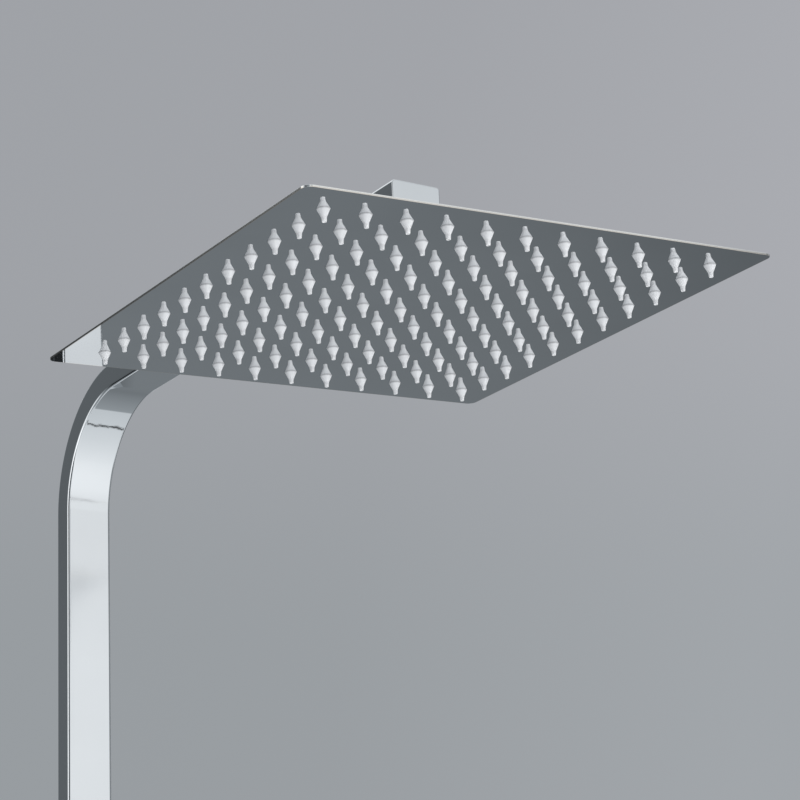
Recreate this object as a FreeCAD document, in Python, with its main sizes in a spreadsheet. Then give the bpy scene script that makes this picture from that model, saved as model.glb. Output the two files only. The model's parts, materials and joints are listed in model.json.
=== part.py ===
"""Square overhead rain shower on a flat gooseneck riser, in millimetres.

The origin is the mouth of the union nut at the riser's foot, +Z is up, and the arm reaches towards -Y.
The head leans a little on its ball joint, with its right side up.
"""
import FreeCAD, Part
import math
import os
import re
import Sketcher

# Driving dimensions: name, value and what it is
SIZES = [
    ("tube_width", 32, "riser tube, side to side"),
    ("tube_depth", 18, "riser tube, front to back"),
    ("tube_wall", 1.5, "riser tube wall"),
    ("tube_corner", 2, "outer corner radius of the tube"),
    ("bend_radius", 79, "bend radius on the tube's centre line"),
    ("reach", 414, "riser axis to head axis"),
    ("arm_overhang", 21, "head axis to the arm's cut end"),
    ("face_height", 320, "underside of the head above the union's mouth"),
    ("head_drop", 51, "underside of the arm above the underside of the head"),
    ("head_tilt_angle", 2.5, "lean of the head on its ball joint, right side up"),
    ("solder_gap", 0.05, "gap all round a soldered or screwed joint"),
    ("overrun", 1, "how far a cut runs past the surface it opens"),
    ("cap_thickness", 2, "arm end cap, outside the tube"),
    ("cap_plug", 6, "arm end cap, inside the tube"),
    ("cap_edge", 0.6, "rounding of the cap's front edge"),
    ("nut_height", 18, "union nut, end to end"),
    ("nut_flats", 30, "union nut across its flats"),
    ("nut_shoulder", 3.5, "inner shoulder at the top of the union nut"),
    ("nut_chamfer", 1.6, "corner chamfer of the union nut, along its axis"),
    ("union_bore", 24.12, "crest diameter of the union's 3/4 inch pipe thread"),
    ("thread_relief", 0.8, "undercut above the union's thread"),
    ("nut_play", 0.3, "running gap round the tail in the union nut"),
    ("nut_float", 0.1, "end play of the union nut on its ring"),
    ("tail_diameter", 20, "round tail of the foot"),
    ("tail_lip", 1.5, "tail below its ring groove"),
    ("foot_bore", 8, "waterway through the foot"),
    ("ring_thickness", 1.4, "retaining ring, along its axis"),
    ("ring_width", 2.4, "retaining ring, inside to outside"),
    ("groove_depth", 0.9, "ring groove in the tail"),
    ("ring_opening", 40, "gap angle of the retaining ring"),
    ("union_seal", 2, "union washer thickness"),
    ("union_seal_bore", 13, "union washer hole"),
    ("seal_play", 0.25, "gap round a flat seal in its recess"),
    ("foot_clearance", 2, "gap between union nut and foot flange"),
    ("flange_width", 36, "foot flange, side to side"),
    ("flange_depth", 26, "foot flange, front to back"),
    ("flange_corner", 9, "corner radius of the foot flange"),
    ("flange_thickness", 5, "foot flange"),
    ("flange_edge", 1.2, "rounding of the foot flange"),
    ("foot_plug", 15, "foot, inside the tube"),
    ("spigot_thread", 20.955, "crest diameter of the spigot's 1/2 inch pipe thread"),
    ("spigot_length", 7, "threaded length of the spigot"),
    ("spigot_bore", 11, "waterway through the spigot"),
    ("spigot_pilot", 16, "spigot end that sits in the arm"),
    ("spigot_shoulder", 25, "spigot shoulder diameter"),
    ("shoulder_thickness", 2.5, "spigot shoulder"),
    ("spigot_seal", 1.6, "spigot washer thickness"),
    ("screen_sheet", 0.4, "filter screen sheet"),
    ("screen_rim", 18, "filter screen rim diameter"),
    ("screen_hat", 9, "filter screen crown diameter"),
    ("screen_rise", 4, "filter screen crown above its rim"),
    ("screen_hole", 1.4, "filter screen holes"),
    ("screen_ring", 5.6, "circle of the filter screen's holes"),
    ("screen_holes", 8, "number of the filter screen's holes"),
    ("restrictor_thickness", 2.5, "flow restrictor disc"),
    ("restrictor_orifice", 4.5, "metering hole"),
    ("restrictor_funnel", 9, "mouth of the metering hole"),
    ("coupling_diameter", 27, "swivel coupling"),
    ("coupling_flats", 25, "swivel coupling across its flats"),
    ("flats_height", 9, "height of the coupling's flats"),
    ("coupling_web", 1.6, "wall between the coupling's two sockets"),
    ("coupling_throat", 10, "waterway through that wall"),
    ("coupling_gap", 0.5, "gap between coupling and spigot shoulder"),
    ("coupling_chamfer", 1, "end chamfers of the coupling"),
    ("socket_depth", 6, "lower socket of the coupling"),
    ("shank_diameter", 16, "threaded shank of the swivel ball"),
    ("shank_seal", 1.2, "shank seal thickness"),
    ("neck_diameter", 12, "neck between shank and ball"),
    ("ball_radius", 10.5, "swivel ball"),
    ("ball_bore", 9, "waterway through the swivel ball"),
    ("ball_rise", 16.5, "ball centre above the underside of the head"),
    ("ball_gap", 0.15, "running gap on the ball joint's round faces"),
    ("liner_wall", 1.85, "thickness of the ball liners"),
    ("upper_liner_start", 2, "upper liner's lower end above the ball centre"),
    ("upper_liner_end", 8.2, "upper liner's upper end above the ball centre"),
    ("lower_liner_start", 2.6, "lower liner's upper end below the ball centre"),
    ("lower_liner_end", 8.2, "lower liner's lower end below the ball centre"),
    ("collar_thread", 33.25, "crest diameter of the collar's 1 inch pipe thread"),
    ("collar_drop", 1.5, "collar's rim below the ball centre"),
    ("collar_throat", 16.4, "waterway through the collar"),
    ("collar_foot", 42, "collar's welded foot"),
    ("collar_foot_height", 2, "height of the collar's foot"),
    ("collar_pilot", 20, "collar end that sits in the top shell"),
    ("gasket_thickness", 1, "gasket under the ball nut"),
    ("gasket_bore", 26.4, "hole of that gasket"),
    ("ball_nut_diameter", 41, "ball nut"),
    ("ball_nut_mouth", 18.8, "opening of the ball nut round the neck"),
    ("ball_nut_crown", 26, "flat top of the ball nut"),
    ("ball_nut_side", 12, "straight side of the ball nut"),
    ("ball_nut_lift", 1, "gap between ball nut and collar foot"),
    ("grip_flutes", 12, "number of grip flutes on the ball nut"),
    ("flute_radius", 2.5, "grip flute radius"),
    ("flute_depth", 0.9, "grip flute depth"),
    ("head_side", 300, "side of the square head"),
    ("head_corner", 5, "corner radius of the head"),
    ("sheet", 0.6, "thickness of the head's two sheets"),
    ("chamber", 3, "water space between the two sheets"),
    ("rim_flat", 11, "flat welded border of the top shell"),
    ("rim_slope", 4, "run of the pressed slope inside that border"),
    ("field_corner", 12, "corner radius of the pressed field at its top"),
    ("nozzle_count", 11, "nozzles in a row"),
    ("nozzle_margin", 25, "outer nozzle rows to the head's edge"),
    ("nozzle_base", 7.2, "nozzle diameter at the face plate"),
    ("nozzle_flange", 9.2, "nozzle flange behind the face plate"),
    ("nozzle_flange_thickness", 1, "that flange"),
    ("nozzle_cone", 4.4, "length of the nozzle's tapered part"),
    ("nozzle_shoulder", 3, "diameter where the taper ends"),
    ("nozzle_tip", 2.4, "diameter of the nozzle's end"),
    ("nozzle_length", 7.1, "nozzle below the face plate"),
    ("nozzle_jet", 1.2, "opening at the nozzle's end"),
    ("nozzle_mouth", 4.2, "opening of the nozzle behind the face plate"),
    ("stud_diameter", 6, "spacer stud between the sheets"),
    ("stud_count", 4, "spacer studs in a row"),
    ("stud_step", 3, "nozzle spaces from one spacer stud to the next"),
]

# Heights and sizes that follow from the driving dimensions
ARM_UNDERSIDE = "(face_height + head_drop)"
ARM_AXIS = "(face_height + head_drop + tube_depth / 2)"
FLANGE_BASE = "(nut_height + foot_clearance)"
TUBE_FOOT = "(nut_height + foot_clearance + flange_thickness)"
RING_TOP = "(nut_height - nut_shoulder - nut_float)"
TAIL_END = "(nut_height - nut_shoulder - nut_float - ring_thickness - tail_lip)"
UNION_THREAD = f"({TAIL_END} - union_seal - nut_float)"
INNER_WIDTH = "(tube_width - 2 * tube_wall)"
INNER_DEPTH = "(tube_depth - 2 * tube_wall)"
INNER_CORNER = "(tube_corner - tube_wall)"
PLUG_WIDTH = "(tube_width - 2 * tube_wall - 2 * solder_gap)"
PLUG_DEPTH = "(tube_depth - 2 * tube_wall - 2 * solder_gap)"
SPIGOT_END = "(shoulder_thickness + spigot_length)"
SCREEN_TOP = "(shoulder_thickness + spigot_length + spigot_seal)"
RESTRICTOR_TOP = "(shoulder_thickness + spigot_length + spigot_seal + screen_sheet)"
COUPLING_FLOOR = f"({RESTRICTOR_TOP} + restrictor_thickness)"
COUPLING_END = f"({COUPLING_FLOOR} + coupling_web + socket_depth)"
SHANK_TOP = f"({COUPLING_FLOOR} + coupling_web + shank_seal)"
BALL_HEIGHT = "(face_height + ball_rise)"
BALL_DROP = "(head_drop - ball_rise)"
LINER_INSIDE = "(ball_radius + ball_gap)"
LINER_OUTSIDE = "(ball_radius + ball_gap + liner_wall)"
SEAT_RADIUS = "(ball_radius + 2 * ball_gap + liner_wall)"
COLLAR_BASE = "(2 * sheet + chamber - ball_rise)"
BALL_NUT_BASE = f"({COLLAR_BASE} + collar_foot_height + ball_nut_lift)"
BALL_NUT_SEAT = "(gasket_thickness - collar_drop)"
FIELD_SIDE = "(head_side - 2 * rim_flat)"
FIELD_TOP_SIDE = "(head_side - 2 * rim_flat - 2 * rim_slope)"
NOZZLE_PITCH = "((head_side - 2 * nozzle_margin) / (nozzle_count - 1))"
NOZZLE_CORNER = "(head_side / 2 - nozzle_margin)"
STUD_PITCH = f"(stud_step * {NOZZLE_PITCH})"
STUD_CORNER = f"((stud_count - 1) * {STUD_PITCH} / 2)"

# Two heights closer than this are the same
SAME_HEIGHT = 1e-5

document = FreeCAD.newDocument("rain_shower")
sheet = document.addObject("Spreadsheet::Sheet", "Sizes")
NAMES = {name for name, _, _ in SIZES}


def fill_sheet():
    """Put each driving dimension in its own named cell."""
    for row, (name, value, meaning) in enumerate(SIZES, start=1):
        sheet.set(f"A{row}", meaning)
        sheet.set(f"B{row}", str(value))
        sheet.setAlias(f"B{row}", name)
    document.recompute()


def linked(formula):
    """The formula with each named size read from the sheet."""
    return re.sub(r"[a-z_]+", lambda word: f"Sizes.{word[0]}" if word[0] in NAMES else word[0], formula)


def number(formula):
    """The formula's present value."""
    value = sheet.evalExpression(linked(formula))
    return float(getattr(value, "Value", value))


def root(outer, inner):
    """Formula of the other side of a right triangle, from its long side and one short side."""
    return f"sqrt(({outer}) * ({outer}) - ({inner}) * ({inner}))"


def empty_body(label):
    """A sub-part with nothing in it yet."""
    body = document.addObject("PartDesign::Body", label)
    body.Label = label
    body.AllowCompound = True
    return body


def new_body(label, out="0", up="0"):
    """An empty sub-part, placed in front of the riser's axis by out and above the origin by up."""
    body = empty_body(label)
    body.setExpression("Placement.Base.y", linked(f"-({out})"))
    body.setExpression("Placement.Base.z", linked(up))
    return body


def new_head_body(label, up, corner="0"):
    """An empty sub-part of the leaning head, above the ball's centre by up and from its axis by corner."""
    body = empty_body(label)
    ball = f"placement(vector(0; -reach; {BALL_HEIGHT}); rotation(vector(0; 1; 0); -head_tilt_angle))"
    offset = f"placement(vector(-{corner}; -{corner}; {up}); rotation(vector(0; 1; 0); 0))"
    body.setExpression("Placement", linked(f"{ball} * {offset}"))
    return body


def origin_feature(body, role):
    """One of the body's own origin planes or axes."""
    return next(feature for feature in body.Origin.OriginFeatures if feature.Role == role)


def new_sketch(body, name, role="XY_Plane", lift="0"):
    """A sketch on one of the body's origin planes, lifted along that plane's normal."""
    sketch = body.newObject("Sketcher::SketchObject", f"{body.Label}_{name}")
    sketch.AttachmentSupport = [(origin_feature(body, role), "")]
    sketch.MapMode = "FlatFace"
    sketch.setExpression("AttachmentOffset.Base.z", linked(lift))
    return sketch


def fix_point(sketch, side, end, across, up):
    """Tie one end of a sketch line to its two coordinates."""
    # In a sketch, element -1 is the level axis, whose point 1 is the origin, and element -2 the upright one
    for kind, axis, formula in (("DistanceX", -2, across), ("DistanceY", -1, up)):
        if formula == "0":
            sketch.addConstraint(Sketcher.Constraint("PointOnObject", side, end, axis))
            continue
        index = sketch.addConstraint(Sketcher.Constraint(kind, -1, 1, side, end, number(formula)))
        sketch.setExpression(f"Constraints[{index}]", linked(formula))


def arc_between(start, end, radius):
    """Arc of under a half circle from start to end; a positive radius bulges to the right of the way."""
    way = end - start
    rise = (radius ** 2 - (way.Length / 2) ** 2) ** 0.5
    left = FreeCAD.Vector(-way.y, way.x, 0).normalize()
    centre = (start + end) / 2 + left * (rise if radius > 0 else -rise)
    first, last = (start - centre, end - centre) if radius > 0 else (end - centre, start - centre)
    circle = Part.Circle(centre, FreeCAD.Vector(0, 0, 1), abs(radius))
    return Part.ArcOfCircle(circle, math.atan2(first.y, first.x), math.atan2(last.y, last.x))


def draw(sketch, corners, rounds=None, closed=True):
    """Outline through corners given as pairs of formulas; rounds holds the radius of each arc side."""
    rounds = rounds or {}
    points = [FreeCAD.Vector(number(across), number(up), 0) for across, up in corners]
    first = sketch.GeometryCount
    count = len(points) if closed else len(points) - 1
    for index in range(count):
        start, end = points[index], points[(index + 1) % len(points)]
        if index in rounds:
            sketch.addGeometry(arc_between(start, end, number(rounds[index])))
        else:
            sketch.addGeometry(Part.LineSegment(start, end))
    # Points 1 and 2 of a side are its ends. A sketch stores arcs counter-clockwise, so an arc that bulges to
    # the left begins at its point 2
    turned = [index in rounds and number(rounds[index]) < 0 for index in range(count)]
    begins = [2 if back else 1 for back in turned]
    finishes = [1 if back else 2 for back in turned]
    for index in range(count):
        side = first + index
        fix_point(sketch, side, begins[index], *corners[index])
        following = (index + 1) % count
        if closed or index + 1 < count:
            meeting = (side, finishes[index], first + following, begins[following])
            sketch.addConstraint(Sketcher.Constraint("Coincident", *meeting))
        if index in rounds:
            radius = sketch.addConstraint(Sketcher.Constraint("Radius", side, abs(number(rounds[index]))))
            sketch.setExpression(f"Constraints[{radius}]", linked(f"abs({rounds[index]})"))
    if not closed:
        fix_point(sketch, first + count - 1, finishes[-1], *corners[-1])
    return sketch


def draw_rounded(sketch, width, depth, corner, middle="0"):
    """Rectangle with rounded corners, centred at (0, middle)."""
    right, inner = f"({width}) / 2", f"(({width}) / 2 - ({corner}))"
    top, upper = f"({middle} + ({depth}) / 2)", f"({middle} + ({depth}) / 2 - ({corner}))"
    bottom, lower = f"({middle} - ({depth}) / 2)", f"({middle} - ({depth}) / 2 + ({corner}))"
    corners = [
        (f"-{inner}", bottom), (inner, bottom), (right, lower), (right, upper),
        (inner, top), (f"-{inner}", top), (f"-{right}", upper), (f"-{right}", lower),
    ]
    # Every second side is a corner's arc
    return draw(sketch, corners, dict.fromkeys(range(1, len(corners), 2), corner))


def draw_circle(sketch, diameter, across="0", up="0"):
    """Circle of a diameter about the point (across, up)."""
    centre = FreeCAD.Vector(number(across), number(up), 0)
    circle = sketch.addGeometry(Part.Circle(centre, FreeCAD.Vector(0, 0, 1), number(diameter) / 2))
    # Point 3 of a circle is its centre
    fix_point(sketch, circle, 3, across, up)
    size = sketch.addConstraint(Sketcher.Constraint("Diameter", circle, number(diameter)))
    sketch.setExpression(f"Constraints[{size}]", linked(diameter))
    return sketch


def add(body, kind, name, sketch, **formulas):
    """A feature made from a sketch, with its sizes tied to the sheet."""
    feature = body.newObject(f"PartDesign::{kind}", f"{body.Label}_{name}")
    feature.Profile = sketch
    for size, formula in formulas.items():
        feature.setExpression(size, linked(formula))
    sketch.Visibility = False
    return feature


def pad(body, name, sketch, length):
    """The sketch raised along its normal."""
    return add(body, "Pad", name, sketch, Length=length)


def pocket(body, name, sketch, length, upward=False):
    """The sketch cut out below its plane, or above it."""
    feature = add(body, "Pocket", name, sketch, Length=length)
    feature.Reversed = upward
    return feature


def revolve(body, name, corners, rounds=None, angle="360"):
    """Solid of revolution about the body's upright axis; corners are radius and height."""
    sketch = draw(new_sketch(body, f"{name}_outline", "XZ_Plane"), corners, rounds)
    feature = add(body, "Revolution", name, sketch, Angle=angle)
    feature.ReferenceAxis = (sketch, ["V_Axis"])
    return feature


def turn_round(body, name, feature, count):
    """Copies of one feature spread evenly round the body's upright axis."""
    pattern = body.newObject("PartDesign::PolarPattern", f"{body.Label}_{name}")
    pattern.Originals = [feature]
    pattern.Axis = (origin_feature(body, "Z_Axis"), [""])
    pattern.Angle = 360
    pattern.setExpression("Occurrences", linked(count))
    body.Tip = pattern
    return pattern


def grid(body, name, feature, count, pitch):
    """Square grid of one feature, which stands at the grid's left front corner."""
    pattern = body.newObject("PartDesign::MultiTransform", f"{body.Label}_{name}")
    pattern.Originals = [feature]
    rows = []
    for role in ("X_Axis", "Y_Axis"):
        row = body.newObject("PartDesign::LinearPattern", f"{body.Label}_{name}_{role}")
        row.Direction = (origin_feature(body, role), [""])
        row.setExpression("Length", linked(f"({count} - 1) * {pitch}"))
        row.setExpression("Occurrences", linked(count))
        rows.append(row)
    pattern.Transformations = rows
    body.Tip = pattern
    return pattern


def round_edges(body, name, base, radius, wanted):
    """Round the edges of base that wanted accepts."""
    document.recompute()
    edges = [f"Edge{i}" for i, edge in enumerate(base.Shape.Edges, start=1) if wanted(edge)]
    fillet = body.newObject("PartDesign::Fillet", f"{body.Label}_{name}")
    fillet.Base = (base, edges)
    fillet.setExpression("Radius", linked(radius))
    return fillet


def lies_at(edge, height):
    """True where the whole edge lies in the level plane at height."""
    box = edge.BoundBox
    return max(abs(box.ZMin - height), abs(box.ZMax - height)) < SAME_HEIGHT


def ring(body, outside, inside, thickness):
    """Flat ring whose upper face lies at the body's own zero height."""
    corners = [
        (f"({inside}) / 2", f"-({thickness})"), (f"({outside}) / 2", f"-({thickness})"),
        (f"({outside}) / 2", "0"), (f"({inside}) / 2", "0"),
    ]
    revolve(body, "ring", corners)
    return body


def make_riser_pipe():
    """Flat tube that rises from the foot, bends forward and ends past the head's axis."""
    body = new_body("riser_pipe")
    spine = new_sketch(body, "path", "YZ_Plane")
    bend_start = f"({ARM_AXIS} - bend_radius)"
    path = [
        ("0", TUBE_FOOT), ("0", bend_start),
        ("-bend_radius", ARM_AXIS), ("-(reach + arm_overhang)", ARM_AXIS),
    ]
    draw(spine, path, {1: "bend_radius"}, closed=False)
    for kind, name, width, depth, corner in (
        ("AdditivePipe", "outside", "tube_width", "tube_depth", "tube_corner"),
        ("SubtractivePipe", "waterway", INNER_WIDTH, INNER_DEPTH, INNER_CORNER),
    ):
        section = draw_rounded(new_sketch(body, f"{name}_section", lift=TUBE_FOOT), width, depth, corner)
        pipe = add(body, kind, name, section)
        pipe.Spine = (spine, [""])
    hole = new_sketch(body, "spigot_hole_outline", lift=ARM_AXIS)
    draw_circle(hole, "(spigot_pilot + 2 * solder_gap)", up="-reach")
    pocket(body, "spigot_hole", hole, "(tube_depth / 2 + overrun)")
    return body


def make_arm_end_cap():
    """Plug that closes the arm's tip, with a softly rounded front edge."""
    body = new_body("arm_end_cap", "(reach + arm_overhang)", ARM_AXIS)
    plate = new_sketch(body, "plate_outline", "XZ_Plane")
    pad(body, "plate", draw_rounded(plate, "tube_width", "tube_depth", "tube_corner"), "cap_thickness")
    plug = new_sketch(body, "plug_outline", "XZ_Plane")
    insert = pad(body, "plug", draw_rounded(plug, PLUG_WIDTH, PLUG_DEPTH, INNER_CORNER), "cap_plug")
    insert.Reversed = True
    half_way = -number("cap_thickness") / 2
    round_edges(body, "front_edge", insert, "cap_edge", lambda edge: edge.BoundBox.YMax < half_way)
    return body


def make_foot_adapter():
    """Foot of the riser: a plug in the tube, a flange under it and a round tail for the union nut."""
    body = new_body("foot_adapter")
    sole = new_sketch(body, "flange_outline", lift=FLANGE_BASE)
    draw_rounded(sole, "flange_width", "flange_depth", "flange_corner")
    flange = pad(body, "flange", sole, "flange_thickness")
    low, high = number(FLANGE_BASE), number(TUBE_FOOT)

    def at_either_end(edge):
        return lies_at(edge, low) or lies_at(edge, high)

    round_edges(body, "flange_edges", flange, "flange_edge", at_either_end)
    plug = new_sketch(body, "plug_outline", lift=TUBE_FOOT)
    pad(body, "plug", draw_rounded(plug, PLUG_WIDTH, PLUG_DEPTH, INNER_CORNER), "foot_plug")
    groove_bottom = "(tail_diameter / 2 - groove_depth)"
    groove_top = f"({RING_TOP} + solder_gap)"
    groove_base = f"({RING_TOP} - ring_thickness - solder_gap)"
    tail = [
        ("0", TAIL_END), ("tail_diameter / 2", TAIL_END), ("tail_diameter / 2", groove_base),
        (groove_bottom, groove_base), (groove_bottom, groove_top), ("tail_diameter / 2", groove_top),
        ("tail_diameter / 2", f"({FLANGE_BASE} + overrun)"), ("0", f"({FLANGE_BASE} + overrun)"),
    ]
    revolve(body, "tail", tail)
    bore = draw_circle(new_sketch(body, "bore_outline", lift=TAIL_END), "foot_bore")
    pocket(body, "bore", bore, f"({TUBE_FOOT} + foot_plug - {TAIL_END} + overrun)", upward=True)
    return body


def make_nut_retaining_ring():
    """Open wire ring in the tail's groove that keeps the union nut on."""
    body = new_body("nut_retaining_ring", up=RING_TOP)
    inside = "(tail_diameter / 2 - groove_depth + solder_gap)"
    outside = f"({inside} + ring_width)"
    corners = [(inside, "-ring_thickness"), (outside, "-ring_thickness"), (outside, "0"), (inside, "0")]
    revolve(body, "ring", corners, angle="360 - ring_opening")
    return body


def make_union_nut():
    """Hexagonal union nut with an inner shoulder at the top and chamfered corners."""
    body = new_body("union_nut")
    hexagon = new_sketch(body, "hexagon")
    across_corners = "(nut_flats / cos(30))"
    corners = [(f"({across_corners} / 2 * cos({turn}))", f"({across_corners} / 2 * sin({turn}))")
               for turn in (30, 90, 150, 210, 270, 330)]
    corners[1] = ("0", f"({across_corners} / 2)")
    corners[4] = ("0", f"-({across_corners} / 2)")
    pad(body, "hexagon_block", draw(hexagon, corners), "nut_height")
    hole = draw_circle(new_sketch(body, "hole_outline"), "(tail_diameter + 2 * nut_play)")
    pocket(body, "hole", hole, "(nut_height + overrun)", upward=True)
    thread = draw_circle(new_sketch(body, "thread_outline"), "union_bore")
    pocket(body, "thread_bore", thread, "(nut_height - nut_shoulder)", upward=True)
    relief = new_sketch(body, "relief_outline", lift=UNION_THREAD)
    draw_circle(relief, "(union_bore + 2 * thread_relief)")
    pocket(body, "thread_relief", relief, f"(nut_height - nut_shoulder - {UNION_THREAD})", upward=True)
    rim, past = f"({across_corners} / 2)", f"({across_corners} / 2 + overrun)"
    flat = "(nut_flats / 2)"
    ends = (("top", "nut_height", "(nut_height - nut_chamfer)"), ("bottom", "0", "nut_chamfer"))
    for name, end, start in ends:
        sketch = new_sketch(body, f"{name}_chamfer_outline", "XZ_Plane")
        draw(sketch, [(flat, end), (past, end), (past, start), (rim, start)])
        cut = add(body, "Groove", f"{name}_chamfer", sketch, Angle="360")
        cut.ReferenceAxis = (sketch, ["V_Axis"])
    return body


def make_outlet_spigot():
    """Threaded nipple soldered under the arm's tip, measured down from the arm's underside."""
    body = new_body("outlet_spigot", "reach", ARM_UNDERSIDE)
    bore, thread, pilot = "spigot_bore / 2", "spigot_thread / 2", "spigot_pilot / 2"
    corners = [
        (bore, f"-{SPIGOT_END}"), (thread, f"-{SPIGOT_END}"), (thread, "-shoulder_thickness"),
        ("spigot_shoulder / 2", "-shoulder_thickness"), ("spigot_shoulder / 2", "0"),
        (pilot, "0"), (pilot, "tube_wall"), (bore, "tube_wall"),
    ]
    revolve(body, "nipple", corners)
    return body


def make_filter_screen():
    """Hat-shaped strainer whose rim lies under the spigot washer."""
    body = new_body("filter_screen", "reach", f"({ARM_UNDERSIDE} - {SCREEN_TOP})")
    rim, crown = "screen_rim / 2", "screen_hat / 2"
    inside, under_crown = f"({crown} - screen_sheet)", "(screen_rise - screen_sheet)"
    corners = [
        ("0", "screen_rise"), (crown, "screen_rise"), (crown, "0"), (rim, "0"), (rim, "-screen_sheet"),
        (inside, "-screen_sheet"), (inside, under_crown), ("0", under_crown),
    ]
    revolve(body, "hat", corners)
    hole = new_sketch(body, "hole_outline", lift="screen_rise")
    draw_circle(hole, "screen_hole", "(screen_ring / 2)")
    drilled = pocket(body, "hole", hole, "(screen_sheet + overrun)")
    turn_round(body, "holes", drilled, "screen_holes")
    return body


def make_flow_restrictor():
    """Disc whose funnel leads to the metering hole."""
    body = new_body("flow_restrictor", "reach", f"({ARM_UNDERSIDE} - {RESTRICTOR_TOP})")
    edge = "(spigot_thread / 2 - seal_play)"
    corners = [
        ("restrictor_orifice / 2", "-restrictor_thickness"), (edge, "-restrictor_thickness"), (edge, "0"),
        ("restrictor_funnel / 2", "0"), ("restrictor_orifice / 2", "-restrictor_thickness / 2"),
    ]
    revolve(body, "disc", corners)
    return body


def make_swivel_coupling():
    """Nut that joins the spigot above and the ball's shank below, with two flats for a spanner."""
    body = new_body("swivel_coupling", "reach", ARM_UNDERSIDE)
    upper, lower = "(spigot_thread / 2 + solder_gap)", "(shank_diameter / 2 + solder_gap)"
    outside, inner_rim = "coupling_diameter / 2", "(coupling_diameter / 2 - coupling_chamfer)"
    top, web = "-(shoulder_thickness + coupling_gap)", f"-({COUPLING_FLOOR} + coupling_web)"
    corners = [
        ("coupling_throat / 2", web), (lower, web), (lower, f"-{COUPLING_END}"),
        (inner_rim, f"-{COUPLING_END}"), (outside, f"-({COUPLING_END} - coupling_chamfer)"),
        (outside, f"({top} - coupling_chamfer)"),
        (inner_rim, top), (upper, top), (upper, f"-{COUPLING_FLOOR}"),
        ("coupling_throat / 2", f"-{COUPLING_FLOOR}"),
    ]
    revolve(body, "sleeve", corners)
    flats = new_sketch(body, "flats_outline", lift=f"-{COUPLING_END}")
    near, far = "(coupling_flats / 2)", "(coupling_diameter / 2 + overrun)"
    for side in ("", "-"):
        draw(flats, [(f"{side}{near}", f"-{far}"), (f"{side}{far}", f"-{far}"),
                     (f"{side}{far}", far), (f"{side}{near}", far)])
    pocket(body, "flats", flats, "flats_height", upward=True)
    return body


def make_swivel_ball():
    """Hollow ball on a threaded shank, measured from the ball's centre."""
    body = new_body("swivel_ball", "reach", BALL_HEIGHT)
    bore, neck, shank = "ball_bore / 2", "neck_diameter / 2", "shank_diameter / 2"
    shank_base, shank_top = f"({BALL_DROP} - {COUPLING_END})", f"({BALL_DROP} - {SHANK_TOP})"
    corners = [
        (bore, f"-{root('ball_radius', bore)}"), ("ball_radius", "0"), (neck, root("ball_radius", neck)),
        (neck, shank_base), (shank, shank_base), (shank, shank_top), (bore, shank_top),
    ]
    revolve(body, "ball", corners, {0: "ball_radius", 1: "ball_radius"})
    return body


def make_liner(label, start, end):
    """Ring of a hollow sphere between two heights above the ball's centre."""
    body = new_body(label, "reach", BALL_HEIGHT)
    corners = [
        (root(LINER_INSIDE, start), start), (root(LINER_OUTSIDE, start), start),
        (root(LINER_OUTSIDE, end), end), (root(LINER_INSIDE, end), end),
    ]
    upward = number(end) > number(start)
    outward, inward = (LINER_OUTSIDE, f"-{LINER_INSIDE}") if upward else (f"-{LINER_OUTSIDE}", LINER_INSIDE)
    revolve(body, "shell", corners, {1: outward, 3: inward})
    return body


def make_inlet_collar():
    """Threaded collar welded on the head's back, with the lower seat of the ball joint."""
    body = new_head_body("inlet_collar", "0")
    throat, thread = "collar_throat / 2", "collar_thread / 2"
    foot, pilot = "collar_foot / 2", "collar_pilot / 2"
    base, foot_top = COLLAR_BASE, f"({COLLAR_BASE} + collar_foot_height)"
    corners = [
        (throat, f"({base} - sheet)"), (pilot, f"({base} - sheet)"), (pilot, base), (foot, base),
        (foot, foot_top), (thread, foot_top), (thread, "-collar_drop"),
        (root(SEAT_RADIUS, "collar_drop"), "-collar_drop"), (throat, f"-{root(SEAT_RADIUS, throat)}"),
    ]
    revolve(body, "collar", corners, {7: f"-{SEAT_RADIUS}"})
    return body


def make_ball_nut():
    """Round nut that closes the ball joint, with its upper seat and grip flutes down its side."""
    body = new_head_body("ball_nut", "0")
    thread, outside, mouth = "(collar_thread / 2 + solder_gap)", "ball_nut_diameter / 2", "ball_nut_mouth / 2"
    top, side_top = root(SEAT_RADIUS, mouth), f"({BALL_NUT_BASE} + ball_nut_side)"
    corners = [
        (thread, BALL_NUT_BASE), (outside, BALL_NUT_BASE), (outside, side_top), ("ball_nut_crown / 2", top),
        (mouth, top), (SEAT_RADIUS, "0"), (SEAT_RADIUS, BALL_NUT_SEAT), (thread, BALL_NUT_SEAT),
    ]
    revolve(body, "cap", corners, {4: f"-{SEAT_RADIUS}"})
    flute = new_sketch(body, "flute_outline", lift=BALL_NUT_BASE)
    draw_circle(flute, "(2 * flute_radius)", "(ball_nut_diameter / 2 + flute_radius - flute_depth)")
    cut = pocket(body, "flute", flute, "ball_nut_side", upward=True)
    turn_round(body, "flutes", cut, "grip_flutes")
    return body


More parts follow.
